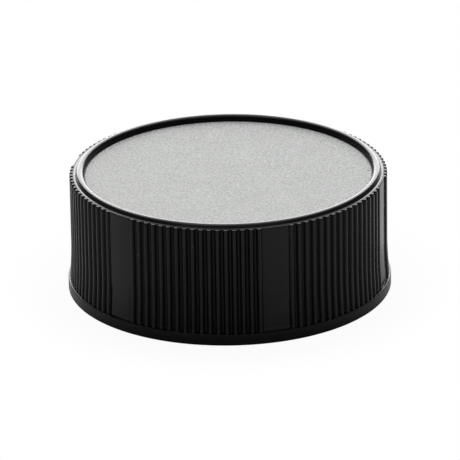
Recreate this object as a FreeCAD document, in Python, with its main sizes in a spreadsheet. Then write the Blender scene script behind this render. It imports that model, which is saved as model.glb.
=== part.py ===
import FreeCAD, Part
import math
import os
import Sketcher

# A screw cap of the 28 mm neck size: one black moulding with a ribbed grip and an internal thread,
# and the plain sealing disc that is pressed in under its top plate.
# The origin is the centre of the open mouth, +Z points to the closed top, and a smooth panel faces -Y.

# Driving sizes in millimetres, degrees where the name says angle, and plain counts.
DRIVING_SIZES = {
    "grip_radius": 15.2,
    "overall_height": 11.85,
    "rim_rise": 0.35,
    "dish_depth": 0.6,
    "ledge_width": 0.52,
    "rim_lean": 0.24,
    "rim_width": 0.57,
    "rim_draft": 0.04,
    "rim_outer_round": 0.28,
    "rim_inner_break": 0.06,
    "plate_thickness": 1.2,
    "rib_depth": 0.3,
    "rib_tip_width": 0.26,
    "rib_foot_width": 0.7,
    "rib_angle": 3.0,
    "ribs_per_group": 17,
    "group_count": 6,
    "panel_drop": 0.17,
    "panel_angle": 9.8,
    "skirt_reach": 0.15,
    "skirt_top": 4.0,
    "band_height": 1.1,
    "band_reach": 0.37,
    "band_lower_break": 0.3,
    "band_upper_break": 0.14,
    "wall_thickness": 0.9,
    "mouth_lead": 0.3,
    "mouth_lead_height": 0.5,
    "thread_pitch": 4.233,
    "thread_turns": 1.25,
    "thread_start_height": 1.85,
    "thread_depth": 1.05,
    "thread_crest_width": 0.8,
    "thread_foot_width": 1.95,
    "thread_fade_length": 6.0,
    "thread_end_step": 0.1,
    "liner_thickness": 1.0,
    "liner_clearance": 0.05,
    "weld_overlap": 0.12,
}


class Size:
    """A size with its sheet expression, so that what is worked out from it stays bound to the sheet."""

    def __init__(self, text, value):
        self.text = text
        self.value = value

    def __add__(self, other):
        return Size(f"({self.text} + {as_size(other).text})", self.value + as_size(other).value)

    def __sub__(self, other):
        return Size(f"({self.text} - {as_size(other).text})", self.value - as_size(other).value)

    def __mul__(self, other):
        return Size(f"({self.text} * {as_size(other).text})", self.value * as_size(other).value)

    def __truediv__(self, other):
        return Size(f"({self.text} / {as_size(other).text})", self.value / as_size(other).value)

    def __neg__(self):
        return Size(f"(0 - {self.text})", -self.value)


def as_size(number):
    return number if isinstance(number, Size) else Size(repr(number), number)


def square_root(size):
    return Size(f"sqrt({size.text})", math.sqrt(size.value))


def smaller(first, second):
    return Size(f"min({first.text}; {second.text})", min(first.value, second.value))


ZERO = as_size(0)
document = FreeCAD.newDocument("screw_cap")
sheet = document.addObject("Spreadsheet::Sheet", "Sizes")
for row, (alias, number) in enumerate(DRIVING_SIZES.items(), start=1):
    sheet.set(f"A{row}", alias)
    sheet.set(f"B{row}", str(number))
    sheet.setAlias(f"B{row}", alias)
document.recompute()


def size(alias):
    return Size(f"Sizes.{alias}", DRIVING_SIZES[alias])


# Heights, from the mouth up.
crest_height = size("overall_height")
ledge_height = crest_height - size("rim_rise")
dish_height = crest_height - size("dish_depth")
seat_height = dish_height - size("plate_thickness")
liner_height = seat_height - size("liner_thickness")
band_height = size("band_height")
skirt_top = size("skirt_top")

# Radii, from the grip inwards.
tip_radius = size("grip_radius")
root_radius = tip_radius - size("rib_depth")
panel_radius = tip_radius - size("panel_drop")
skirt_reach = size("skirt_reach")
band_radius = tip_radius + size("band_reach")
rim_foot_radius = tip_radius - size("ledge_width")
rim_outer_radius = rim_foot_radius - size("rim_lean")
rim_inner_radius = rim_outer_radius - size("rim_width")
dish_radius = rim_inner_radius - size("rim_draft")
bore_radius = root_radius - size("wall_thickness")
mouth_radius = bore_radius + size("mouth_lead")
thread_crest_radius = bore_radius - size("thread_depth")
liner_radius = bore_radius - size("liner_clearance")
core_radius = root_radius - size("weld_overlap")

# A break takes no more than these shares: of a land with a break on each side, and of the band's
# shelf, which has one break only.
LAND_SHARE = 0.45
SHELF_SHARE = 0.9
rim_land = size("rim_width") * LAND_SHARE


def origin_feature(body, role):
    """The plane or axis of a body's own origin."""
    return next(item for item in body.Origin.OriginFeatures if item.Role == role)


def bind(item, prop, amount):
    """Tie one property of an object to the sheet."""
    item.setExpression(prop, amount.text)


def new_sketch(body, name, role, height=None, turn=None):
    """A sketch on one of the body's origin planes, raised along Z or turned about Z."""
    sketch = body.newObject("Sketcher::SketchObject", name)
    sketch.AttachmentSupport = [(origin_feature(body, role), "")]
    sketch.MapMode = "FlatFace"
    if turn is not None:
        # the cap's axis is the sketch's vertical on the upright plane, and its normal on the flat one
        spin_axis = FreeCAD.Vector(0, 1, 0) if role == "XZ_Plane" else FreeCAD.Vector(0, 0, 1)
        sketch.AttachmentOffset = FreeCAD.Placement(
            FreeCAD.Vector(0, 0, 0), FreeCAD.Rotation(spin_axis, turn.value)
        )
        bind(sketch, ".AttachmentOffset.Rotation.Angle", turn)
    if height is not None:
        bind(sketch, ".AttachmentOffset.Base.z", height)
    return sketch


def pin_point(sketch, side, end, point):
    """Tie a point of a sketch to its two sizes, or to an axis where a size is nothing."""
    for kind, axis, amount in (("DistanceX", -2, point[0]), ("DistanceY", -1, point[1])):
        if amount is ZERO:
            sketch.addConstraint(Sketcher.Constraint("PointOnObject", side, end, axis))
        else:
            rule = sketch.addConstraint(
                Sketcher.Constraint(kind, -1, 1, side, end, amount.value)
            )
            sketch.setExpression(f"Constraints[{rule}]", amount.text)


def flat_point(point):
    return FreeCAD.Vector(point[0].value, point[1].value, 0)


def draw_outline(sketch, points, closed=True):
    """Straight sides through the points in turn, each point tied to its two sizes."""
    count = len(points) if closed else len(points) - 1
    for i in range(count):
        start = flat_point(points[i])
        end = flat_point(points[(i + 1) % len(points)])
        sketch.addGeometry(Part.LineSegment(start, end))
    for i in range(count):
        pin_point(sketch, i, 1, points[i])
        if closed or i + 1 < count:
            sketch.addConstraint(Sketcher.Constraint("Coincident", i, 2, (i + 1) % count, 1))
        else:
            pin_point(sketch, i, 2, points[-1])


def turned_feature(body, kind, name, sketch, angle=None):
    """A revolved solid or cut about the cap's axis. A part turn is centred on its sketch."""
    feature = body.newObject(f"PartDesign::{kind}", name)
    feature.Profile = sketch
    feature.ReferenceAxis = (sketch, ["V_Axis"])
    feature.Angle = 360
    if angle is not None:
        feature.Midplane = True
        bind(feature, "Angle", angle)
    return feature


def circle_edges(shape, radius, height):
    """The names of the full circles of this radius at this height."""
    names = []
    for index, edge in enumerate(shape.Edges, start=1):
        curve = edge.Curve
        if isinstance(curve, Part.Circle) and abs(curve.Radius - radius.value) < 1e-4:
            if abs(curve.Center.z - height.value) < 1e-4:
                names.append(f"Edge{index}")
    return names


def dress_edge(body, kind, name, radius, height, prop, amount):
    """Round or break the circular edge of the newest feature that has this radius and height."""
    document.recompute()
    base = body.Tip
    feature = body.newObject(f"PartDesign::{kind}", name)
    feature.Base = (base, circle_edges(base.Shape, radius, height))
    bind(feature, prop, amount)
    return feature


def turned_core(body):
    """The moulding without its grip: band, wall, dish and the bore under the top plate."""
    sketch = new_sketch(body, "core_section", "XZ_Plane")
    draw_outline(
        sketch,
        [
            (ZERO, ZERO),
            (band_radius, ZERO),
            (band_radius, band_height),
            (root_radius + skirt_reach, band_height),
            (root_radius, skirt_top),
            (root_radius, crest_height),
            (rim_inner_radius, crest_height),
            (dish_radius, dish_height),
            (ZERO, dish_height),
        ],
    )
    turned_feature(body, "Revolution", "core", sketch)

    sketch = new_sketch(body, "bore_section", "XZ_Plane")
    draw_outline(
        sketch,
        [
            (ZERO, ZERO),
            (bore_radius, ZERO),
            (bore_radius, seat_height),
            (ZERO, seat_height),
        ],
    )
    turned_feature(body, "Groove", "bore", sketch)

    band_land = band_height * LAND_SHARE
    band_shelf = (size("band_reach") - skirt_reach) * SHELF_SHARE
    dress_edge(body, "Chamfer", "rim_inner_edge", rim_inner_radius, crest_height,
               "Size", smaller(size("rim_inner_break"), rim_land))
    dress_edge(body, "Chamfer", "band_lower_edge", band_radius, ZERO,
               "Size", smaller(size("band_lower_break"), band_land))
    dress_edge(body, "Chamfer", "band_upper_edge", band_radius, band_height,
               "Size", smaller(size("band_upper_break"), band_shelf))


def grip_panels(body, cap_axis):
    """Six smooth panels, a little proud of the grooves, one between each two groups of ribs."""
    half_group = as_size(180) / size("group_count")
    sketch = new_sketch(body, "panel_section", "XZ_Plane", turn=half_group)
    draw_outline(
        sketch,
        [
            (core_radius, band_height),
            (panel_radius + skirt_reach, band_height),
            (panel_radius, skirt_top),
            (panel_radius, crest_height),
            (core_radius, crest_height),
        ],
    )
    panel = turned_feature(body, "Revolution", "panel", sketch, size("panel_angle"))
    document.recompute()
    panels = body.newObject("PartDesign::PolarPattern", "panels")
    panels.Originals = [panel]
    panels.Axis = (cap_axis, [""])
    panels.Angle = 360
    bind(panels, "Occurrences", size("group_count"))
    body.Tip = panels


def grip_ribs(body, cap_axis):
    """The ribs: one is swept down the wall and its skirt, then repeated in groups round the cap."""
    first_rib = -((size("ribs_per_group") - 1) * size("rib_angle") / 2)
    path = new_sketch(body, "rib_path", "XZ_Plane", turn=first_rib)
    # the skirt's slope is carried on a little, so that the rib is rooted in the band
    rooting = size("weld_overlap")
    slope = skirt_reach / (skirt_top - band_height)
    draw_outline(
        path,
        [
            (tip_radius, crest_height),
            (tip_radius, skirt_top),
            (tip_radius + skirt_reach + slope * rooting, band_height - rooting),
        ],
        closed=False,
    )
    # the sides slope straight from the tip to the groove's floor and on into the wall
    tip_half = size("rib_tip_width") / 2
    spread = (size("rib_foot_width") / 2 - tip_half) / size("rib_depth")
    base_half = tip_half + spread * (tip_radius - core_radius)
    section = new_sketch(body, "rib_section", "XY_Plane", height=crest_height, turn=first_rib)
    draw_outline(
        section,
        [
            (core_radius, -base_half),
            (tip_radius, -tip_half),
            (tip_radius, tip_half),
            (core_radius, base_half),
        ],
    )
    document.recompute()
    rib = body.newObject("PartDesign::AdditivePipe", "rib")
    rib.Profile = section
    rib.Spine = (path, ["Edge1", "Edge2"])
    document.recompute()

    group = body.newObject("PartDesign::PolarPattern", "rib_group")
    group.Axis = (cap_axis, [""])
    bind(group, "Angle", (size("ribs_per_group") - 1) * size("rib_angle"))
    bind(group, "Occurrences", size("ribs_per_group"))
    ring = body.newObject("PartDesign::PolarPattern", "rib_ring")
    ring.Axis = (cap_axis, [""])
    ring.Angle = 360
    bind(ring, "Occurrences", size("group_count"))
    ribs = body.newObject("PartDesign::MultiTransform", "ribs")
    ribs.Originals = [rib]
    ribs.Transformations = [group, ring]
    body.Tip = ribs


def fade_thread_end(body, name, height, turn, forward):
    """Cut the ridge back to the wall over its last stretch, by a plane that meets the crest circle."""
    run = size("thread_fade_length")
    crest_side = square_root(thread_crest_radius * thread_crest_radius - run * run)
    sketch = new_sketch(
        body, f"{name}_section", "XY_Plane", height=height - size("thread_pitch") / 2, turn=turn
    )
    points = [
        (crest_side, ZERO),
        (bore_radius - size("thread_end_step"), ZERO),
        (crest_side, run if forward else -run),
    ]
    draw_outline(sketch, points)
    cut = body.newObject("PartDesign::Pocket", name)
    cut.Profile = sketch
    cut.Reversed = True
    bind(cut, "Length", size("thread_pitch"))
    return cut


def neck_thread(body, cap_axis):
    """A right-handed ridge round the bore, faded at both ends and left a little proud at its crest."""
    crest_half = size("thread_crest_width") / 2
    foot_half = size("thread_foot_width") / 2
    start = size("thread_start_height")
    section = new_sketch(body, "thread_section", "XZ_Plane")
    draw_outline(
        section,
        [
            (bore_radius + size("weld_overlap"), start - foot_half),
            (thread_crest_radius - size("weld_overlap"), start - crest_half),
            (thread_crest_radius - size("weld_overlap"), start + crest_half),
            (bore_radius + size("weld_overlap"), start + foot_half),
        ],
    )
    ridge = body.newObject("PartDesign::AdditiveHelix", "thread_ridge")
    ridge.Profile = section
    ridge.ReferenceAxis = (cap_axis, [""])
    ridge.Mode = "pitch-turns-angle"
    bind(ridge, "Pitch", size("thread_pitch"))
    bind(ridge, "Turns", size("thread_turns"))
    document.recompute()

    end_height = start + size("thread_pitch") * size("thread_turns")
    fade_thread_end(body, "thread_start_fade", start, ZERO, True)
    fade_thread_end(body, "thread_end_fade", end_height, size("thread_turns") * 360, False)


def turned_ledge(body):
    """Turn the wall and its ribs down to the ledge, which leaves the rim standing."""
    clear_radius = tip_radius + size("ledge_width")
    sketch = new_sketch(body, "ledge_section", "XZ_Plane")
    draw_outline(
        sketch,
        [
            (rim_foot_radius, ledge_height),
            (clear_radius, ledge_height),
            (clear_radius, crest_height + size("rim_rise")),
            (rim_outer_radius, crest_height + size("rim_rise")),
            (rim_outer_radius, crest_height),
        ],
    )
    turned_feature(body, "Groove", "ledge", sketch)
    dress_edge(body, "Fillet", "rim_outer_edge", rim_outer_radius, crest_height,
               "Radius", smaller(size("rim_outer_round"), rim_land))


def mouth_lead(body):
    """The taper at the open mouth that guides the neck in."""
    sketch = new_sketch(body, "mouth_lead_section", "XZ_Plane")
    draw_outline(
        sketch,
        [
            (thread_crest_radius, ZERO),
            (mouth_radius, ZERO),
            (bore_radius, size("mouth_lead_height")),
            (thread_crest_radius, size("mouth_lead_height")),
        ],
    )
    turned_feature(body, "Groove", "mouth_lead", sketch)


def thread_crest(body):
    """Bore the ridge true to its crest, in four quarters so that each stretch of crest is its own face."""
    sketch = new_sketch(body, "crest_circle", "XY_Plane", turn=as_size(45))
    quarter = math.pi / 2
    circle = Part.Circle(
        FreeCAD.Vector(0, 0, 0), FreeCAD.Vector(0, 0, 1), thread_crest_radius.value
    )
    for side in range(4):
        sketch.addGeometry(Part.ArcOfCircle(circle, side * quarter, (side + 1) * quarter))
    for side in range(4):
        sketch.addConstraint(Sketcher.Constraint("Coincident", side, 3, -1, 1))
        sketch.addConstraint(Sketcher.Constraint("Coincident", side, 2, (side + 1) % 4, 1))
        sketch.addConstraint(Sketcher.Constraint("PointOnObject", side, 1, -1 - side % 2))
    rule = sketch.addConstraint(Sketcher.Constraint("Radius", 0, thread_crest_radius.value))
    sketch.setExpression(f"Constraints[{rule}]", thread_crest_radius.text)
    crest = body.newObject("PartDesign::Pocket", "thread_crest")
    crest.Profile = sketch
    crest.Reversed = True
    crest.Refine = False
    bind(crest, "Length", liner_height)


def build_cap_shell():
    """The moulded cap."""
    body = document.addObject("PartDesign::Body", "cap_shell")
    body.Label = "cap_shell"
    cap_axis = origin_feature(body, "Z_Axis")
    turned_core(body)
    grip_panels(body, cap_axis)
    neck_thread(body, cap_axis)
    grip_ribs(body, cap_axis)
    turned_ledge(body)
    mouth_lead(body)
    thread_crest(body)
    return body


def build_liner():
    """The sealing disc, a plain die-cut round that lies against the underside of the top plate."""
    body = document.addObject("PartDesign::Body", "liner")
    body.Label = "liner"
    sketch = new_sketch(body, "liner_circle", "XY_Plane", height=liner_height)
    sketch.addGeometry(
        Part.Circle(FreeCAD.Vector(0, 0, 0), FreeCAD.Vector(0, 0, 1), liner_radius.value)
    )
    sketch.addConstraint(Sketcher.Constraint("Coincident", 0, 3, -1, 1))
    rule = sketch.addConstraint(Sketcher.Constraint("Radius", 0, liner_radius.value))
    sketch.setExpression(f"Constraints[{rule}]", liner_radius.text)
    disc = body.newObject("PartDesign::Pad", "liner_disc")
    disc.Profile = sketch
    bind(disc, "Length", size("liner_thickness"))
    return body


def check_document():
    """Stop if any object of the document failed to build."""
    for item in document.Objects:
        if "Invalid" in item.State or "Error" in item.State:
            raise RuntimeError(f"{item.Name} failed: {item.State}")


parts = [build_cap_shell(), build_liner()]
document.recompute()
check_document()
os.makedirs("parts", exist_ok=True)
for part in parts:
    if part.Shape.isNull() or not part.Shape.isValid() or len(part.Shape.Solids) != 1:
        raise RuntimeError(f"{part.Label} is not one valid solid")
for part in parts:
    part.Shape.exportStep(f"parts/{part.Label}.step")
    print(part.Label, f"{part.Shape.Volume:.2f} mm3", len(part.Shape.Faces), "faces")
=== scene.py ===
"""Looks of a black lined screw cap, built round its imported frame.

The cap stands on its open rim. Lengths are in millimetres up to the point where a mesh is made,
and angles are in degrees unless a docstring says otherwise. The studio and the lamps are in metres.
The row has no joints, so every piece rides on the one body, root.
"""

from __future__ import annotations

import logging
import math
from dataclasses import dataclass
from enum import Enum

import bpy
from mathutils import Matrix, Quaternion, Vector


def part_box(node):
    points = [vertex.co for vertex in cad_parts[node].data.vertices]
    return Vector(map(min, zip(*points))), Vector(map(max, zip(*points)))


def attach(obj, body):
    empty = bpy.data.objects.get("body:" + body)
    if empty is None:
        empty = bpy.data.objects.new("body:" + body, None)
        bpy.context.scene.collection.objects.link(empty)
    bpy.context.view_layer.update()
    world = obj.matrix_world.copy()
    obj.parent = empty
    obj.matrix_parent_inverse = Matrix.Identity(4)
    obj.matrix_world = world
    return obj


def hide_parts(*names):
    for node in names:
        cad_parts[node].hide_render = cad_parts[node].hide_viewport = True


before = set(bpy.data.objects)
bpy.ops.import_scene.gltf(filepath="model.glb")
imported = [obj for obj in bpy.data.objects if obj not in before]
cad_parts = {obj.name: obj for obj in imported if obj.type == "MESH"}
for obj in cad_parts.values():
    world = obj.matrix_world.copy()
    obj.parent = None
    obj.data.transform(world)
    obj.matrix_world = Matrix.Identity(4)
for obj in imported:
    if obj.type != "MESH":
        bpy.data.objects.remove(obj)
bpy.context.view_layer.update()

MM = 0.001
ROOT = "root"
SHARP_ANGLE = 42.0
NOISE_MIDDLE = 0.5
WHITE = (1.0, 1.0, 1.0, 1.0)
log = logging.getLogger("screw_cap")


class Zone(Enum):
    """The finishes of the moulding, in the order of its material slots."""

    WALL = 0
    TOP = 1
    RIM = 2
    INSIDE = 3
    DISH_WALL = 4
    # The grooves' finish is painted shade: a darker, duller copy of the wall's, where the neighbouring
    # ribs would shade them.
    GROOVE_SHADE = 5


class Field:
    """A shader socket that takes part in Python arithmetic."""

    def __init__(self, graph: Graph, socket: bpy.types.NodeSocket) -> None:
        """Wrap one output socket of a graph."""
        self.graph = graph
        self.socket = socket

    def _math(self, operation: str, first: Number, second: Number) -> Field:
        """Add one Math node for two numbers or fields."""
        return self.graph.field("ShaderNodeMath", {"operation": operation}, {0: first, 1: second})

    def __add__(self, other: Number) -> Field:
        """The sum."""
        return self._math("ADD", self, other)

    __radd__ = __add__

    def __sub__(self, other: Number) -> Field:
        """The difference."""
        return self._math("SUBTRACT", self, other)

    def __rsub__(self, other: Number) -> Field:
        """The difference, from a plain number."""
        return self._math("SUBTRACT", other, self)

    def __mul__(self, other: Number) -> Field:
        """The product."""
        return self._math("MULTIPLY", self, other)

    __rmul__ = __mul__

    def __lt__(self, other: Number) -> Field:
        """One where the field is less, and nothing elsewhere."""
        return self._math("LESS_THAN", self, other)

    def either(self, other: Number) -> Field:
        """The greater of the two."""
        return self._math("MAXIMUM", self, other)


Number = Field | float
Colour = tuple[float, float, float]
Point = tuple[float, float, float]


class Graph:
    """A node tree and the one method that adds a node to it."""

    def __init__(self, tree: bpy.types.NodeTree) -> None:
        """Take over a node tree and empty it."""
        self.tree = tree
        tree.nodes.clear()

    def node(
        self, kind: str, settings: dict | None = None, inputs: dict | None = None
    ) -> bpy.types.Node:
        """Add one node.

        Args:
            kind: The node's type.
            settings: Its properties, set first.
            inputs: A value, a field or a socket for each input, by name or number.

        Returns:
            The node.
        """
        made = self.tree.nodes.new(kind)
        for name, value in (settings or {}).items():
            setattr(made, name, value)
        for key, value in (inputs or {}).items():
            if isinstance(value, Field):
                self.tree.links.new(value.socket, made.inputs[key])
            elif isinstance(value, bpy.types.NodeSocket):
                self.tree.links.new(value, made.inputs[key])
            else:
                made.inputs[key].default_value = value
        return made

    def field(
        self,
        kind: str,
        settings: dict | None = None,
        inputs: dict | None = None,
        output: int | str = 0,
    ) -> Field:
        """Add one node and wrap one of its outputs.

        Args:
            kind: The node's type.
            settings: Its properties, as for node.
            inputs: Its inputs, as for node.
            output: The output's name or number.

        Returns:
            The output as a field.
        """
        return Field(self, self.node(kind, settings, inputs).outputs[output])

    def place(self) -> Field:
        """The point of the surface in the object's own space."""
        return self.field("ShaderNodeTexCoord", output="Object")

    def measure(self, operation: str, *vectors: Field | Point) -> Field:
        """Work out one number from vectors.

        Args:
            operation: The measure, such as a length, a distance or a dot product.
            vectors: The one or two vectors that it takes.

        Returns:
            The number.
        """
        values = dict(enumerate(vectors))
        return self.field("ShaderNodeVectorMath", {"operation": operation}, values, output="Value")

    def noise(
        self, grain_mm: float, detail: float = 2.0, roughness: float = 0.5, seed: float = 0.0
    ) -> Field:
        """Smooth noise of a real grain size.

        Args:
            grain_mm: The size of a grain in millimetres.
            detail: How many finer layers lie on it.
            roughness: How strong the finer layers are.
            seed: A shift that makes two noises differ.

        Returns:
            The noise, about a half on average.
        """
        shift = {0: self.place(), 1: (seed, -seed, seed)}
        values = {
            "Vector": self.field("ShaderNodeVectorMath", {"operation": "ADD"}, shift),
            "Scale": 1.0 / (grain_mm * MM),
            "Detail": detail,
            "Roughness": roughness,
        }
        return self.field("ShaderNodeTexNoise", {"noise_dimensions": "3D"}, values)

    def ease(
        self, value: Field, low: float, high: float, first: float = 0.0, last: float = 1.0
    ) -> Field:
        """Lead smoothly from one number to another while a value rises.

        Args:
            value: The value that is followed.
            low: Where the change starts.
            high: Where the change ends.
            first: The number before the change.
            last: The number after it.

        Returns:
            The eased number.
        """
        values = {"Value": value, "From Min": low, "From Max": high, "To Min": first, "To Max": last}
        return self.field("ShaderNodeMapRange", {"interpolation_type": "SMOOTHSTEP"}, values)

    def blend(self, share: Number, first: Colour | Field, second: Colour | Field) -> Field:
        """Mix two colours.

        Args:
            share: The share of the second colour.
            first: The first colour.
            second: The second colour.

        Returns:
            The mixed colour.
        """
        sides = {
            0: share,
            6: first if isinstance(first, Field) else (*first, 1.0),
            7: second if isinstance(second, Field) else (*second, 1.0),
        }
        return self.field("ShaderNodeMix", {"data_type": "RGBA"}, sides, output=2)

    def bump(self, height: Field, depth_mm: float) -> Field:
        """A bent normal from a height field of a real depth."""
        values = {"Strength": 1.0, "Distance": depth_mm * MM, "Height": height}
        return self.field("ShaderNodeBump", None, values, output="Normal")

    def plastic(self, colour: Field, roughness: Field, specular: float, normal: Field) -> None:
        """Make the material one plastic surface.

        Args:
            colour: The base colour.
            roughness: The roughness.
            specular: The level of its mirroring, which is the same all over.
            normal: The bent normal.
        """
        values = {
            "Base Color": colour,
            "Roughness": roughness,
            "Specular IOR Level": specular,
            "Normal": normal,
        }
        self.surface(self.node("ShaderNodeBsdfPrincipled", None, values))

    def surface(self, shader: bpy.types.Node) -> None:
        """Put a shader on the material's surface."""
        self.node("ShaderNodeOutputMaterial", None, {"Surface": shader.outputs[0]})


def new_material(name: str) -> tuple[bpy.types.Material, Graph]:
    """Make an empty material.

    Args:
        name: The material's name.

    Returns:
        The material and its graph.
    """
    material = bpy.data.materials.new(name)
    material.use_nodes = True
    return material, Graph(material.node_tree)


def new_object(name: str, data: bpy.types.ID) -> bpy.types.Object:
    """Put an object into the scene.

    Args:
        name: The object's name.
        data: Its mesh, its lamp or its lens.

    Returns:
        The object.
    """
    made = bpy.data.objects.new(name, data)
    bpy.context.scene.collection.objects.link(made)
    return made


def polar(radius: float, angle: float, height: float) -> Point:
    """A point in metres, from a radius and a height in millimetres and an angle in radians."""
    return (radius * math.cos(angle) * MM, radius * math.sin(angle) * MM, height * MM)


def direction(azimuth: float, elevation: float) -> Vector:
    """The direction of something that stands at an azimuth and an elevation from the cap."""
    turn, tilt = math.radians(azimuth), math.radians(elevation)
    return Vector(
        (math.sin(turn) * math.cos(tilt), -math.cos(turn) * math.cos(tilt), math.sin(tilt))
    )


def even_turns(count: int, first: float = 0.0) -> tuple[float, ...]:
    """Evenly spaced angles all the way round, from a first one on."""
    return tuple(360.0 * i / count + first for i in range(count))


@dataclass(frozen=True)
class Fleck:
    """A tiny speck of dust or chipped plastic, by its angle, its height and its radius."""

    angle: float
    height: float
    radius: float
    size: float = 0.12

    def point(self) -> Point:
        """Its centre in metres."""
        return polar(self.radius, math.radians(self.angle), self.height)


WALL_FLECKS = (
    Fleck(angle=-141.3, height=8.15, radius=15.2),
    Fleck(angle=-159.9, height=5.06, radius=15.2),
    Fleck(angle=-119.6, height=9.84, radius=15.2, size=0.08),
)
DISC_FLECKS = (
    Fleck(angle=-16.07, height=11.25, radius=13.45),
    Fleck(angle=-121.8, height=11.25, radius=13.55, size=0.07),
)


def flecked(graph: Graph, colour: Field, flecks: tuple[Fleck, ...], fleck_colour: Colour) -> Field:
    """Lay flecks of one colour over another.

    Args:
        graph: The material's graph.
        colour: The colour under the flecks.
        flecks: The places of the flecks.
        fleck_colour: Their colour.

    Returns:
        The flecked colour.
    """
    for fleck in flecks:
        gap = graph.measure("DISTANCE", graph.place(), fleck.point())
        colour = graph.blend(gap < fleck.size * MM, colour, fleck_colour)
    return colour


@dataclass(frozen=True)
class MouldedBlack:
    """Black polypropylene as it leaves the mould: satin, with a faint uneven skin."""

    name: str
    colour: Colour = (0.0022, 0.0022, 0.0026)
    pale: Colour = (0.004, 0.004, 0.0045)
    roughness: float = 0.25
    roughness_swing: float = 0.06
    specular: float = 0.28
    skin_mm: float = 0.11
    skin_depth_mm: float = 0.0012
    cloud_mm: float = 2.6
    flecks: tuple[Fleck, ...] = ()
    fleck_colour: Colour = (0.07, 0.07, 0.067)

    def make(self) -> bpy.types.Material:
        """Build the material.

        Returns:
            The material.
        """
        material, graph = new_material(self.name)
        cloud = graph.noise(self.cloud_mm, detail=3.0, seed=0.3)
        skin = graph.noise(self.skin_mm, detail=2.0, seed=0.7)
        plain = graph.blend(cloud, self.colour, self.pale)
        graph.plastic(
            colour=flecked(graph, plain, self.flecks, self.fleck_colour),
            roughness=(cloud - NOISE_MIDDLE) * self.roughness_swing + self.roughness,
            specular=self.specular,
            normal=graph.bump(skin, self.skin_depth_mm),
        )
        return material


@dataclass(frozen=True)
class GrainedTopWithPaintedGlare:
    """The recessed disc: painted pale grey for part of the back light's glare, with an even, fine
    grain and a few dark specks.
    """

    name: str
    # Painted reflection: both greys are far lighter than the black plastic and stand in for part of
    # the glare on the grained top.
    colour: Colour = (0.32, 0.328, 0.32)
    pale: Colour = (0.84, 0.857, 0.84)
    contrast: float = 2.2
    grain_share: float = 0.93
    cloud_share: float = 0.07
    roughness: float = 0.6
    roughness_swing: float = 0.16
    specular: float = 0.15
    grain_mm: float = 0.2
    grain_depth_mm: float = 0.012
    cloud_mm: float = 3.4
    flecks: tuple[Fleck, ...] = DISC_FLECKS
    fleck_colour: Colour = (0.12, 0.12, 0.12)

    def make(self) -> bpy.types.Material:
        """Build the material.

        Returns:
            The material.
        """
        material, graph = new_material(self.name)
        grain = graph.noise(self.grain_mm, detail=3.0, roughness=0.6, seed=0.2)
        cloud = graph.noise(self.cloud_mm, detail=2.0, seed=0.9)
        mixed = grain * self.grain_share + cloud * self.cloud_share
        tone = (mixed - NOISE_MIDDLE) * self.contrast + NOISE_MIDDLE
        plain = graph.blend(tone, self.colour, self.pale)
        graph.plastic(
            colour=flecked(graph, plain, self.flecks, self.fleck_colour),
            roughness=(grain - NOISE_MIDDLE) * self.roughness_swing + self.roughness,
            specular=self.specular,
            normal=graph.bump(grain, self.grain_depth_mm),
        )
        return material


@dataclass(frozen=True)
class FoamSheet:
    """Closed-cell foam of the liner: off-white, with fine skinned-over cells."""

    name: str
    colour: Colour = (0.8, 0.8, 0.77)
    shade: Colour = (0.66, 0.66, 0.63)
    cell_share: float = 0.7
    cloud_share: float = 0.3
    roughness: float = 0.62
    roughness_swing: float = 0.2
    specular: float = 0.35
    cell_mm: float = 0.32
    cell_depth_mm: float = 0.02
    cloud_mm: float = 4.0

    def make(self) -> bpy.types.Material:
        """Build the material.

        Returns:
            The material.
        """
        material, graph = new_material(self.name)
        values = {"Vector": graph.place(), "Scale": 1.0 / (self.cell_mm * MM)}
        cell = graph.field("ShaderNodeTexVoronoi", {"feature": "SMOOTH_F1"}, values, output="Distance")
        cloud = graph.noise(self.cloud_mm, detail=3.0)
        shadow = cell * self.cell_share + cloud * self.cloud_share
        graph.plastic(
            colour=graph.blend(shadow, self.colour, self.shade),
            roughness=(cloud - NOISE_MIDDLE) * self.roughness_swing + self.roughness,
            specular=self.specular,
            normal=graph.bump(1.0 - cell, self.cell_depth_mm),
        )
        return material


@dataclass(frozen=True)
class Ring:
    """One closed row of a mesh: its turns in degrees and the number of its first vertex."""

    turns: tuple[float, ...]
    first: int

    def vertex(self, step: int) -> int:
        """The vertex at a step, which may run past the end once."""
        return self.first + step % len(self.turns)


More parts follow.
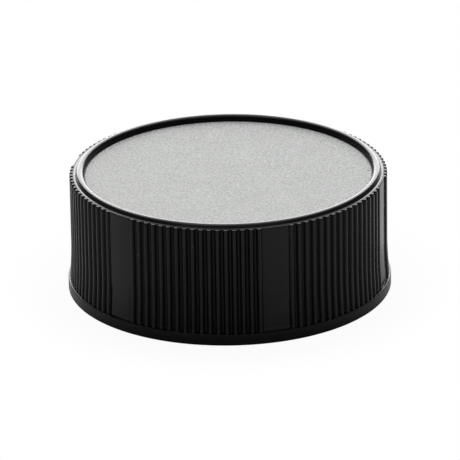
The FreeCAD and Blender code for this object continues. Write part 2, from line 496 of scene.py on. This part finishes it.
class RingMesh:
    """A closed surface that is gathered ring by ring, and closed by a flat face at each end."""

    def __init__(self) -> None:
        """Start with nothing."""
        self.points: list[Point] = []
        self.faces: list[tuple[int, ...]] = []
        self.zones: list[Zone] = []
        self.last: Ring | None = None

    def _face(self, corners: tuple[int, ...], zone: Zone) -> None:
        """Keep one face."""
        self.faces.append(corners)
        self.zones.append(zone)

    def ring(
        self, turns: tuple[float, ...], radii: list[float], height: float, zone: Zone | list[Zone]
    ) -> None:
        """Add a ring and join it to the last one.

        Args:
            turns: The angle of each vertex.
            radii: The radius of each vertex in millimetres.
            height: The ring's height in millimetres.
            zone: The finish of the faces that join it, or one finish for each column.
        """
        zones = zone if isinstance(zone, list) else [zone] * len(turns)
        old, new = self.last, Ring(turns, len(self.points))
        self.points += [
            polar(radius, math.radians(turn), height) for turn, radius in zip(turns, radii)
        ]
        if old is None:
            self._face(tuple(new.vertex(i) for i in range(len(turns))), zones[0])
        elif len(old.turns) == len(turns):
            for i, column_zone in enumerate(zones):
                corners = (old.vertex(i), new.vertex(i), new.vertex(i + 1), old.vertex(i + 1))
                self._face(corners, column_zone)
        else:
            self._bridge(old, new, zones[0])
        self.last = new

    def circle(self, turns: tuple[float, ...], radius: float, height: float, zone: Zone) -> None:
        """Add a ring that is round."""
        self.ring(turns, [radius] * len(turns), height, zone)

    def _bridge(self, old: Ring, new: Ring, zone: Zone) -> None:
        """Join two rings with different numbers of vertices by triangles.

        Args:
            old: The ring that is there.
            new: The ring that follows it.
            zone: The finish of the triangles.
        """
        i = j = 0
        count_old, count_new = len(old.turns), len(new.turns)
        while i < count_old or j < count_new:
            next_old = old.turns[(i + 1) % count_old] + 360.0 * ((i + 1) // count_old)
            next_new = new.turns[(j + 1) % count_new] + 360.0 * ((j + 1) // count_new)
            if j < count_new and (i >= count_old or next_new <= next_old):
                self._face((old.vertex(i), new.vertex(j), new.vertex(j + 1)), zone)
                j += 1
            else:
                self._face((old.vertex(i), new.vertex(j), old.vertex(i + 1)), zone)
                i += 1

    def close(self, zone: Zone) -> None:
        """Close the last ring with one flat face."""
        count = len(self.last.turns)
        self._face(tuple(self.last.vertex(i) for i in reversed(range(count))), zone)

    def build(self, name: str) -> bpy.types.Object:
        """Make the mesh and its object.

        Args:
            name: The name of both.

        Returns:
            The object.
        """
        mesh = bpy.data.meshes.new(name)
        mesh.from_pydata(self.points, [], self.faces)
        for polygon, zone in zip(mesh.polygons, self.zones):
            polygon.material_index = zone.value
        mesh.validate()
        return new_object(name, mesh)


Corner = tuple[float, float, float]


def rounded_path(corners: list[Corner], steps: int) -> list[tuple[float, float]]:
    """A path through corners of which each is rounded by an arc.

    Args:
        corners: Radius, height and rounding of each corner. The ends are not rounded.
        steps: How many lines make each arc.

    Returns:
        The radius and height of each point.
    """
    path = [corners[0][:2]]
    for before, corner, after in zip(corners, corners[1:], corners[2:]):
        here = Vector(corner[:2])
        back = (Vector(before[:2]) - here).normalized()
        ahead = (Vector(after[:2]) - here).normalized()
        half = back.angle(ahead) / 2
        reach = corner[2] / math.tan(half)
        middle = here + (back + ahead).normalized() * (corner[2] / math.sin(half))
        start = here + back * reach - middle
        end = here + ahead * reach - middle
        sweep = start.angle_signed(end)
        for step in range(steps + 1):
            angle = -sweep * step / steps
            turned = Vector(
                (
                    start.x * math.cos(angle) - start.y * math.sin(angle),
                    start.x * math.sin(angle) + start.y * math.cos(angle),
                )
            )
            path.append(tuple(middle + turned))
    path.append(corners[-1][:2])
    return path


def finish_mesh(piece: bpy.types.Object) -> None:
    """Shade a piece smooth up to its sharp edges, with the flat faces kept flat.

    Args:
        piece: The piece.
    """
    piece.data.shade_smooth()
    piece.data.set_sharp_from_angle(angle=math.radians(SHARP_ANGLE))
    weighted = piece.modifiers.new("flat faces lead", "WEIGHTED_NORMAL")
    weighted.mode = "FACE_AREA"
    weighted.keep_sharp = True
    apply_modifiers(piece)


def apply_modifiers(piece: bpy.types.Object) -> None:
    """Turn a piece's modifiers into its mesh.

    Args:
        piece: The piece.
    """
    depsgraph = bpy.context.evaluated_depsgraph_get()
    made = bpy.data.meshes.new_from_object(piece.evaluated_get(depsgraph))
    old = piece.data
    piece.modifiers.clear()
    piece.data = made
    made.name = old.name
    bpy.data.meshes.remove(old)


@dataclass(frozen=True)
class Column:
    """An upright line of the wall: its angle, share of the rib's depth, and if a groove with painted
    shade holds it.
    """

    turn: float
    share: float
    in_groove: bool = False


@dataclass
class Grip:
    """The wall's ribs in groups with a smooth panel between each two groups."""

    rib_pitch: float = 3.0
    ribs_per_group: int = 17
    groups: int = 6
    tip_half: float = 0.3
    foot_half: float = 1.3
    flank_steps: int = 8
    panel_half: float = 4.86
    panel_share: float = 0.43
    panel_steps: int = 8
    notch_share: float = 0.34
    notch_half: float = 1.02
    notch_steps: int = 3
    groove_shade_share: float = 0.72

    def flank(self, step: int) -> tuple[float, float]:
        """One point of a rib's flank.

        Args:
            step: How many steps down the flank it lies.

        Returns:
            Its angle from the rib's middle, and its share of the rib's depth.
        """
        share = step / self.flank_steps
        angle = self.tip_half + (self.foot_half - self.tip_half) * share
        return angle, (1.0 + math.cos(math.pi * share)) / 2

    def columns(self) -> list[Column]:
        """The columns of the wall, all the way round.

        Returns:
            The columns, in the order of their angles.
        """
        found: list[Column] = []
        spread = 360.0 / self.groups
        first_rib = -(self.ribs_per_group - 1) * self.rib_pitch / 2
        for group in range(self.groups):
            for rib in range(self.ribs_per_group):
                middle = group * spread + first_rib + rib * self.rib_pitch
                found += self.rib(middle, rib == 0, rib == self.ribs_per_group - 1)
            panel_middle = (group + 0.5) * spread
            for step in range(self.panel_steps + 1):
                turn = panel_middle + self.panel_half * (2 * step / self.panel_steps - 1)
                found.append(Column(turn, self.panel_share))
        return found

    def flank_column(self, turn: float, share: float) -> Column:
        """A column of a flank, which counts to the groove and its painted shade where it lies deep."""
        return Column(turn, share, share < self.groove_shade_share)

    def rib(self, middle: float, opens: bool, closes: bool) -> list[Column]:
        """The columns of one rib and of the groove after it.

        A flank that faces a panel ends early, in a notch beside the panel.

        Args:
            middle: The angle of the rib's middle.
            opens: Whether the rib is the first of its group.
            closes: Whether the rib is the last of its group.

        Returns:
            The columns, in the order of their angles.
        """
        flank = [self.flank(step) for step in range(self.flank_steps + 1)]
        to_panel = [*flank[: -self.notch_steps], (self.notch_half, self.notch_share)]
        rising = to_panel if opens else flank
        falling = to_panel if closes else flank
        found = [self.flank_column(middle - angle, share) for angle, share in reversed(rising)]
        found.append(Column(middle, 1.0))
        found += [self.flank_column(middle + angle, share) for angle, share in falling]
        if not closes:
            found.append(Column(middle + self.rib_pitch / 2, 0.0, True))
        return found


@dataclass
class NeckThread:
    """The right-handed ridge inside the cap, faded at both ends.

    The ridge's shoulder and its crest are set in by shares of its softness.
    """

    bore: float
    pitch: float = 4.233
    turns: float = 1.25
    start: float = 1.85
    depth: float = 1.05
    least_share: float = 0.03
    crest_half: float = 0.4
    foot_half: float = 0.975
    fade: float = 6.0
    sink: float = 0.12
    softness: float = 0.2
    shoulder_drop: float = 0.3
    shoulder_inset: float = 0.1
    crest_inset: float = 0.6
    steps_per_turn: int = 160

    def depth_at(self, turn: float) -> float:
        """How far the ridge stands out of the bore.

        Args:
            turn: How many turns along the ridge.

        Returns:
            The depth in millimetres.
        """
        run = min(turn, self.turns - turn) * 2 * math.pi * self.bore
        share = min(1.0, max(0.0, run / self.fade))
        swell = math.sin(share * math.pi / 2)
        return self.depth * (self.least_share + (1.0 - self.least_share) * swell)

    def section(self, turn: float) -> list[tuple[float, float]]:
        """The outline of the ridge.

        Args:
            turn: How many turns along the ridge.

        Returns:
            The radius and height of each point, from the lower foot to the upper one.
        """
        depth = self.depth_at(turn)
        crest = self.bore - depth
        middle = self.start + self.pitch * turn
        soft = self.softness * depth / self.depth
        half = [
            (self.bore + self.sink, self.foot_half),
            (crest + soft, self.crest_half + (self.foot_half - self.crest_half) * soft / depth),
            (crest + soft * self.shoulder_drop, self.crest_half - soft * self.shoulder_inset),
            (crest, self.crest_half - soft * self.crest_inset),
        ]
        lower = [(radius, middle - reach) for radius, reach in half]
        upper = [(radius, middle + reach) for radius, reach in reversed(half)]
        return lower + upper

    def build(self) -> bpy.types.Object:
        """Make the ridge as a closed solid that is rooted in the wall.

        Returns:
            The ridge, still a piece of its own.
        """
        steps = round(self.turns * self.steps_per_turn)
        points: list[Point] = []
        for step in range(steps + 1):
            turn = self.turns * step / steps
            angle = turn * 2 * math.pi
            points += [polar(radius, angle, height) for radius, height in self.section(turn)]
        width = len(points) // (steps + 1)
        faces: list[tuple[int, ...]] = []
        for step in range(steps):
            for side in range(width):
                near = step * width + side
                next_side = step * width + (side + 1) % width
                faces.append((near, near + width, next_side + width, next_side))
        faces.append(tuple(range(width)))
        faces.append(tuple(reversed(range(steps * width, steps * width + width))))
        mesh = bpy.data.meshes.new("neck_thread")
        mesh.from_pydata(points, [], faces)
        return new_object("neck_thread", mesh)


@dataclass
class CapShell:
    """The moulding: grained disc, rounded rim, ledge, ribbed wall, skirt, band, bore and thread."""

    band_radius: float
    height: float
    liner_top: float
    band_reach: float = 0.35
    rib_depth: float = 0.3
    ledge_drop: float = 0.35
    dish_drop: float = 0.6
    ledge_width: float = 0.52
    rim_lean: float = 0.24
    rim_width: float = 0.57
    rim_draft: float = 0.04
    rim_foot_round: float = 0.07
    rim_outer_round: float = 0.36
    rim_inner_round: float = 0.38
    dish_round: float = 0.15
    rib_end_round: float = 0.14
    groove_end_round: float = 0.03
    skirt_top: float = 4.4
    skirt_reach: float = 0.17
    skirt_power: float = 1.5
    skirt_steps: int = 8
    band_height: float = 1.1
    band_crease_round: float = 0.04
    band_upper_round: float = 0.12
    band_lower_round: float = 0.07
    wall: float = 0.9
    mouth_lead: float = 0.3
    mouth_lead_height: float = 0.5
    point_gap: float = 0.01
    first_turn: float = -30.0
    rim_columns: int = 480
    bore_columns: int = 360
    arc_steps: int = 6
    crease_steps: int = 3
    disc_rings: int = 2

    def __post_init__(self) -> None:
        """Work out the radii and heights that follow from the others."""
        self.tip = self.band_radius - self.band_reach
        self.root = self.tip - self.rib_depth
        self.bore = self.root - self.wall
        self.ledge_height = self.height - self.ledge_drop
        self.dish_height = self.height - self.dish_drop

    def wall_radius(self, share: float, height: float) -> float:
        """The radius at a share of the rib's depth and a height, with the skirt's widening."""
        drop = max(0.0, self.skirt_top - height) / (self.skirt_top - self.band_height)
        return self.root + self.rib_depth * share + self.skirt_reach * drop**self.skirt_power

    def end_round(self, share: float) -> float:
        """How far the wall's upper edge is rounded back, from the grooves to the rib tips."""
        return self.groove_end_round + (self.rib_end_round - self.groove_end_round) * share

    def rim_path(self) -> list[tuple[float, float]]:
        """The section from the disc over the rim to the ledge.

        Returns:
            The radius and height of each point.
        """
        foot = self.tip - self.ledge_width
        outer = foot - self.rim_lean
        inner = outer - self.rim_width
        floor = inner - self.rim_draft
        return rounded_path(
            [
                (floor - 2 * self.dish_round, self.dish_height, 0.0),
                (floor, self.dish_height, self.dish_round),
                (inner, self.height, self.rim_inner_round),
                (outer, self.height, self.rim_outer_round),
                (foot, self.ledge_height, self.rim_foot_round),
                (foot + 2 * self.rim_foot_round, self.ledge_height, 0.0),
            ],
            self.arc_steps,
        )

    def top_zone(self, step: int) -> Zone:
        """The finish of a ring of the top.

        Args:
            step: The ring's number, from the disc outward.

        Returns:
            The disc's finish, then its wall's up to the middle of the crest's inner arc, then
            the rim's.
        """
        crest = self.disc_rings + self.arc_steps + self.arc_steps // 2
        if step < self.disc_rings:
            return Zone.TOP
        return Zone.DISH_WALL if step < crest else Zone.RIM

    def draw_top(self, draft: RingMesh) -> None:
        """Draw the disc, its wall, the rim and the start of the ledge.

        Args:
            draft: The mesh that is gathered.
        """
        turns = even_turns(self.rim_columns, self.first_turn)
        for step, (radius, height) in enumerate(self.rim_path()):
            draft.circle(turns, radius, height, self.top_zone(step))

    def draw_wall(self, draft: RingMesh, columns: list[Column]) -> None:
        """Draw the ribbed wall, from the ledge to the band's crease.

        Args:
            draft: The mesh that is gathered.
            columns: The wall's columns.
        """
        turns = tuple(column.turn for column in columns)
        # Faces between two groove columns get the groove's painted shade, a darker, duller copy of the
        # wall's finish.
        zones = [
            Zone.GROOVE_SHADE if near.in_groove and far.in_groove else Zone.WALL
            for near, far in zip(columns, columns[1:] + columns[:1])
        ]
        for step in range(self.arc_steps + 1):
            angle = math.pi / 2 * step / self.arc_steps
            inset = 1 - math.sin(angle)
            height = self.ledge_height - self.rib_end_round * (1 - math.cos(angle))
            radii = [
                self.wall_radius(column.share, height) - inset * self.end_round(column.share)
                for column in columns
            ]
            draft.ring(turns, radii, height, zones)
        foot = self.band_height + self.band_crease_round
        for step in range(self.skirt_steps + 1):
            height = self.skirt_top + (foot - self.skirt_top) * step / self.skirt_steps
            radii = [self.wall_radius(column.share, height) for column in columns]
            draft.ring(turns, radii, height, zones)
        for step in range(1, self.crease_steps + 1):
            angle = math.pi / 2 * step / self.crease_steps
            out = self.band_crease_round * (1 - math.cos(angle))
            height = self.band_height + self.band_crease_round * (1 - math.sin(angle))
            radii = [self.wall_radius(column.share, self.band_height) + out for column in columns]
            draft.ring(turns, radii, height, zones)

    def draw_band(self, draft: RingMesh, columns: list[Column]) -> None:
        """Draw the plain band, its rounded edges and the rim that the cap stands on.

        Args:
            draft: The mesh that is gathered.
            columns: The wall's columns, whose angles the band keeps.
        """
        turns = tuple(column.turn for column in columns)
        shelf = self.band_radius - self.band_upper_round
        sole = self.band_radius - self.band_lower_round
        path = rounded_path(
            [
                (shelf - self.point_gap, self.band_height, 0.0),
                (self.band_radius, self.band_height, self.band_upper_round - self.point_gap),
                (self.band_radius, 0.0, self.band_lower_round),
                (sole - 2 * self.point_gap, 0.0, 0.0),
            ],
            self.arc_steps,
        )
        for radius, height in path:
            draft.circle(turns, radius, height, Zone.WALL)

    def draw_inside(self, draft: RingMesh) -> None:
        """Draw the mouth, the bore and the underside of the top plate.

        Args:
            draft: The mesh that is gathered.
        """
        turns = even_turns(self.bore_columns, self.first_turn)
        draft.circle(turns, self.bore + self.mouth_lead, 0.0, Zone.INSIDE)
        draft.circle(turns, self.bore, self.mouth_lead_height, Zone.INSIDE)
        draft.circle(turns, self.bore, self.liner_top, Zone.INSIDE)
        draft.close(Zone.INSIDE)

    def build(self, finishes: dict[Zone, bpy.types.Material]) -> bpy.types.Object:
        """Make the moulding as one closed mesh.

        Args:
            finishes: The material of each zone.

        Returns:
            The dressed piece.
        """
        draft = RingMesh()
        columns = Grip().columns()
        self.draw_top(draft)
        self.draw_wall(draft, columns)
        self.draw_band(draft, columns)
        self.draw_inside(draft)
        shell = draft.build("cap_moulding")
        ridge = NeckThread(self.bore).build()
        union = shell.modifiers.new("thread", "BOOLEAN")
        union.operation = "UNION"
        union.solver = "MANIFOLD"
        union.object = ridge
        for zone in Zone:
            shell.data.materials.append(finishes[zone])
        ridge.data.materials.append(finishes[Zone.INSIDE])
        apply_modifiers(shell)
        bpy.data.objects.remove(ridge)
        finish_mesh(shell)
        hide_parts("cap_shell")
        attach(shell, ROOT)
        return shell


@dataclass
class Liner:
    """The sealing disc, die-cut from foam sheet, with slightly softened edges."""

    radius: float
    bottom: float
    top: float
    edge_round: float = 0.07
    columns: int = 300
    arc_steps: int = 4

    def build(self, finish: bpy.types.Material) -> bpy.types.Object:
        """Make the disc and dress it.

        Args:
            finish: The disc's one material, in its first slot.

        Returns:
            The dressed piece.
        """
        draft = RingMesh()
        turns = even_turns(self.columns)
        inner = self.radius - 2 * self.edge_round
        path = rounded_path(
            [
                (inner, self.top, 0.0),
                (self.radius, self.top, self.edge_round),
                (self.radius, self.bottom, self.edge_round),
                (inner, self.bottom, 0.0),
            ],
            self.arc_steps,
        )
        for radius, height in path:
            draft.circle(turns, radius, height, Zone.WALL)
        draft.close(Zone.WALL)
        disc = draft.build("foam_liner")
        disc.data.materials.append(finish)
        finish_mesh(disc)
        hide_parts("liner")
        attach(disc, ROOT)
        return disc


@dataclass
class PhotoCamera:
    """The photograph's camera, from a fit of the rib ends, the ledge, the disc and the outline."""

    target_height: float
    azimuth: float = -16.77
    elevation: float = 21.65
    roll: float = 0.88
    distance: float = 497.0
    focal_pixels: float = 5188.0
    target_pixel: tuple[float, float] = (228.2, 170.8)
    image_side: float = 460.0
    sensor: float = 36.0
    clip_start: float = 0.05
    clip_end: float = 20.0

    def place(self) -> None:
        """Make the scene's camera and aim it, so that the ledge's centre falls on its pixel."""
        lens = bpy.data.cameras.new("camera")
        lens.sensor_width = self.sensor
        lens.lens = self.sensor * self.focal_pixels / self.image_side
        lens.clip_start = self.clip_start
        lens.clip_end = self.clip_end
        camera = new_object("camera", lens)
        half = self.image_side / 2
        sight = Vector(
            (
                (self.target_pixel[0] - half) / self.focal_pixels,
                (half - self.target_pixel[1]) / self.focal_pixels,
                -1.0,
            )
        )
        back = direction(self.azimuth, self.elevation)
        target = Vector((0.0, 0.0, self.target_height * MM))
        aim = (-back).to_track_quat("-Z", "Y")
        roll = Quaternion((0.0, 0.0, 1.0), math.radians(-self.roll))
        offset = Vector((0.0, 0.0, -1.0)).rotation_difference(sight).inverted()
        camera.location = target + back * self.distance * MM
        camera.rotation_mode = "QUATERNION"
        camera.rotation_quaternion = aim @ roll @ offset
        bpy.context.scene.camera = camera


@dataclass
class Lamp:
    """A soft panel lamp, by the direction it stands in and its size in metres."""

    name: str
    azimuth: float
    elevation: float
    width: float
    depth: float
    radiance: float
    distance: float = 1.4
    aim_height: float = 0.006

    def place(self) -> None:
        """Make the lamp and turn it to the cap."""
        light = bpy.data.lights.new(self.name, "AREA")
        light.shape = "RECTANGLE"
        light.size = self.width
        light.size_y = self.depth
        light.energy = self.radiance * math.pi * self.width * self.depth
        out = direction(self.azimuth, self.elevation)
        lamp = new_object(self.name, light)
        lamp.location = out * self.distance + Vector((0.0, 0.0, self.aim_height))
        lamp.rotation_mode = "QUATERNION"
        lamp.rotation_quaternion = (-out).to_track_quat("-Z", "Y")
        lamp.visible_camera = False


@dataclass
class Studio:
    """The pale floor, the white surroundings and the lamps, in metres."""

    back_azimuth: float
    floor_side: float = 6.0
    floor_colour: Colour = (0.82, 0.82, 0.82)
    shadow_share: float = 0.05
    ambient: float = 0.1
    contact_reach: float = 0.016
    contact_fade: float = 0.008
    shadow_reach: float = 0.05
    shadow_fade: float = 0.06
    white_turn: float = -15.0
    white_from: float = 0.009
    white_full: float = 0.015
    backdrop_top: float = 0.3
    backdrop_side: float = 0.7
    backdrop_middle: float = 0.94

    def seen_directly(self, graph: Graph, reflected: Field) -> Field:
        """How far a ray shows the white background.

        Args:
            graph: The material's or the world's graph.
            reflected: How far the background shows in reflections and through clear things.

        Returns:
            One from the camera, and that share off or through the object.
        """
        path = graph.node("ShaderNodeLightPath")
        camera = Field(graph, path.outputs["Is Camera Ray"])
        glossy = Field(graph, path.outputs["Is Glossy Ray"])
        through = Field(graph, path.outputs["Is Transmission Ray"])
        return camera.either(glossy.either(through) * reflected)

    def toward_back(self, graph: Graph, place: Field, turned: float = 0.0) -> Field:
        """How far a point or a direction lies behind the cap.

        Args:
            graph: The material's or the world's graph.
            place: The point or the direction.
            turned: An angle to one side of straight behind, which is measured along instead.

        Returns:
            The distance, or the share of a direction.
        """
        turn = math.radians(self.back_azimuth + turned)
        return graph.measure("DOT_PRODUCT", place, (math.sin(turn), -math.cos(turn), 0.0))

    def floor_finish(self) -> bpy.types.Material:
        """The floor's material: white to the eye, with the cap's soft shadow kept on it.

        Returns:
            The material.
        """
        material, graph = new_material("pale_floor")
        lit = graph.node("ShaderNodeBsdfDiffuse", None, {"Color": (*self.floor_colour, 1.0)})
        white = graph.node("ShaderNodeEmission", None, {"Color": WHITE, "Strength": 1.0})
        away = graph.measure("LENGTH", graph.place())
        backward = self.toward_back(graph, graph.place(), self.white_turn)
        clear = graph.ease(away, self.shadow_reach, self.shadow_reach + self.shadow_fade)
        behind = graph.ease(backward, self.white_from, self.white_full)
        contact_end = self.contact_reach + self.contact_fade
        near = graph.ease(away, self.contact_reach, contact_end, first=self.shadow_share, last=0.0)
        share = self.seen_directly(graph, clear.either(behind)) * (1.0 - near)
        sides = {0: share, 1: lit.outputs[0], 2: white.outputs[0]}
        graph.surface(graph.node("ShaderNodeMixShader", None, sides))
        return material

    def floor(self) -> None:
        """Lay the floor that the cap stands on."""
        half = self.floor_side / 2
        corners = [(-half, -half, 0.0), (half, -half, 0.0), (half, half, 0.0), (-half, half, 0.0)]
        mesh = bpy.data.meshes.new("floor")
        mesh.from_pydata(corners, [], [(0, 1, 2, 3)])
        mesh.materials.append(self.floor_finish())
        new_object("floor", mesh)

    def world(self) -> None:
        """Give white surroundings to the eye, and a plain soft light from all round."""
        world = bpy.data.worlds.new("studio")
        world.use_nodes = True
        graph = Graph(world.node_tree)
        view = graph.field("ShaderNodeTexCoord", output="Generated")
        rise = graph.field("ShaderNodeSeparateXYZ", None, {0: view}, output="Z")
        along = self.toward_back(graph, view)
        behind = graph.ease(along, self.backdrop_side, self.backdrop_middle)
        low = graph.ease(rise, 0.0, self.backdrop_top, first=1.0, last=0.0)
        strength = self.seen_directly(graph, low * behind) * (1.0 - self.ambient) + self.ambient
        shown = graph.node("ShaderNodeBackground", None, {"Color": WHITE, "Strength": strength})
        graph.node("ShaderNodeOutputWorld", None, {"Surface": shown.outputs[0]})
        bpy.context.scene.world = world

    def build(self) -> None:
        """Set up floor, world and lamps."""
        self.floor()
        self.world()
        back = self.back_azimuth
        lamps = (
            Lamp("back_panel", back, elevation=18.0, width=1.3, depth=0.85, radiance=4.8),
            Lamp("high_panel", back, elevation=55.0, width=1.5, depth=0.95, radiance=2.3),
            Lamp("top_panel", back, elevation=90.0, width=1.5, depth=0.6, radiance=0.8),
            Lamp("front_panel", back, elevation=114.0, width=1.5, depth=0.6, radiance=0.2),
        )
        for lamp in lamps:
            lamp.place()


def shell_finishes() -> dict[Zone, bpy.types.Material]:
    """Make the finishes of the moulding.

    Returns:
        The material of each zone.
    """
    return {
        Zone.WALL: MouldedBlack("moulded_black", flecks=WALL_FLECKS).make(),
        Zone.TOP: GrainedTopWithPaintedGlare("grained_top_painted_glare").make(),
        Zone.RIM: MouldedBlack("rim_black", roughness=0.22, specular=0.5).make(),
        Zone.INSIDE: MouldedBlack("inside_black", roughness=0.3, specular=0.4).make(),
        # Painted shade in the grooves: less mirroring and more roughness stand in for the shade of the
        # neighbouring ribs.
        Zone.GROOVE_SHADE: MouldedBlack(
            "groove_painted_shade",
            colour=(0.0055, 0.0055, 0.0062),
            pale=(0.0075, 0.0075, 0.0083),
            roughness=0.36,
            specular=0.17,
        ).make(),
        Zone.DISH_WALL: MouldedBlack("dish_wall_black", roughness=0.45, specular=0.14).make(),
    }


def main() -> None:
    """Build the cap, its liner, the studio and the camera."""
    logging.basicConfig(level=logging.INFO, format="%(name)s: %(message)s")
    bpy.context.scene.view_settings.view_transform = "Standard"
    _, shell_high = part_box("cap_shell")
    liner_low, liner_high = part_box("liner")
    camera = PhotoCamera(target_height=shell_high.z / MM - CapShell.ledge_drop)
    camera.place()
    Studio(back_azimuth=camera.azimuth + 180.0).build()
    shell = CapShell(
        band_radius=shell_high.x / MM, height=shell_high.z / MM, liner_top=liner_high.z / MM
    ).build(shell_finishes())
    log.info("%s: %d faces", shell.name, len(shell.data.polygons))
    liner = Liner(
        radius=liner_high.x / MM, bottom=liner_low.z / MM, top=liner_high.z / MM
    ).build(FoamSheet("liner_foam").make())
    log.info("%s: %d faces", liner.name, len(liner.data.polygons))


if __name__ == "__main__":
    main()
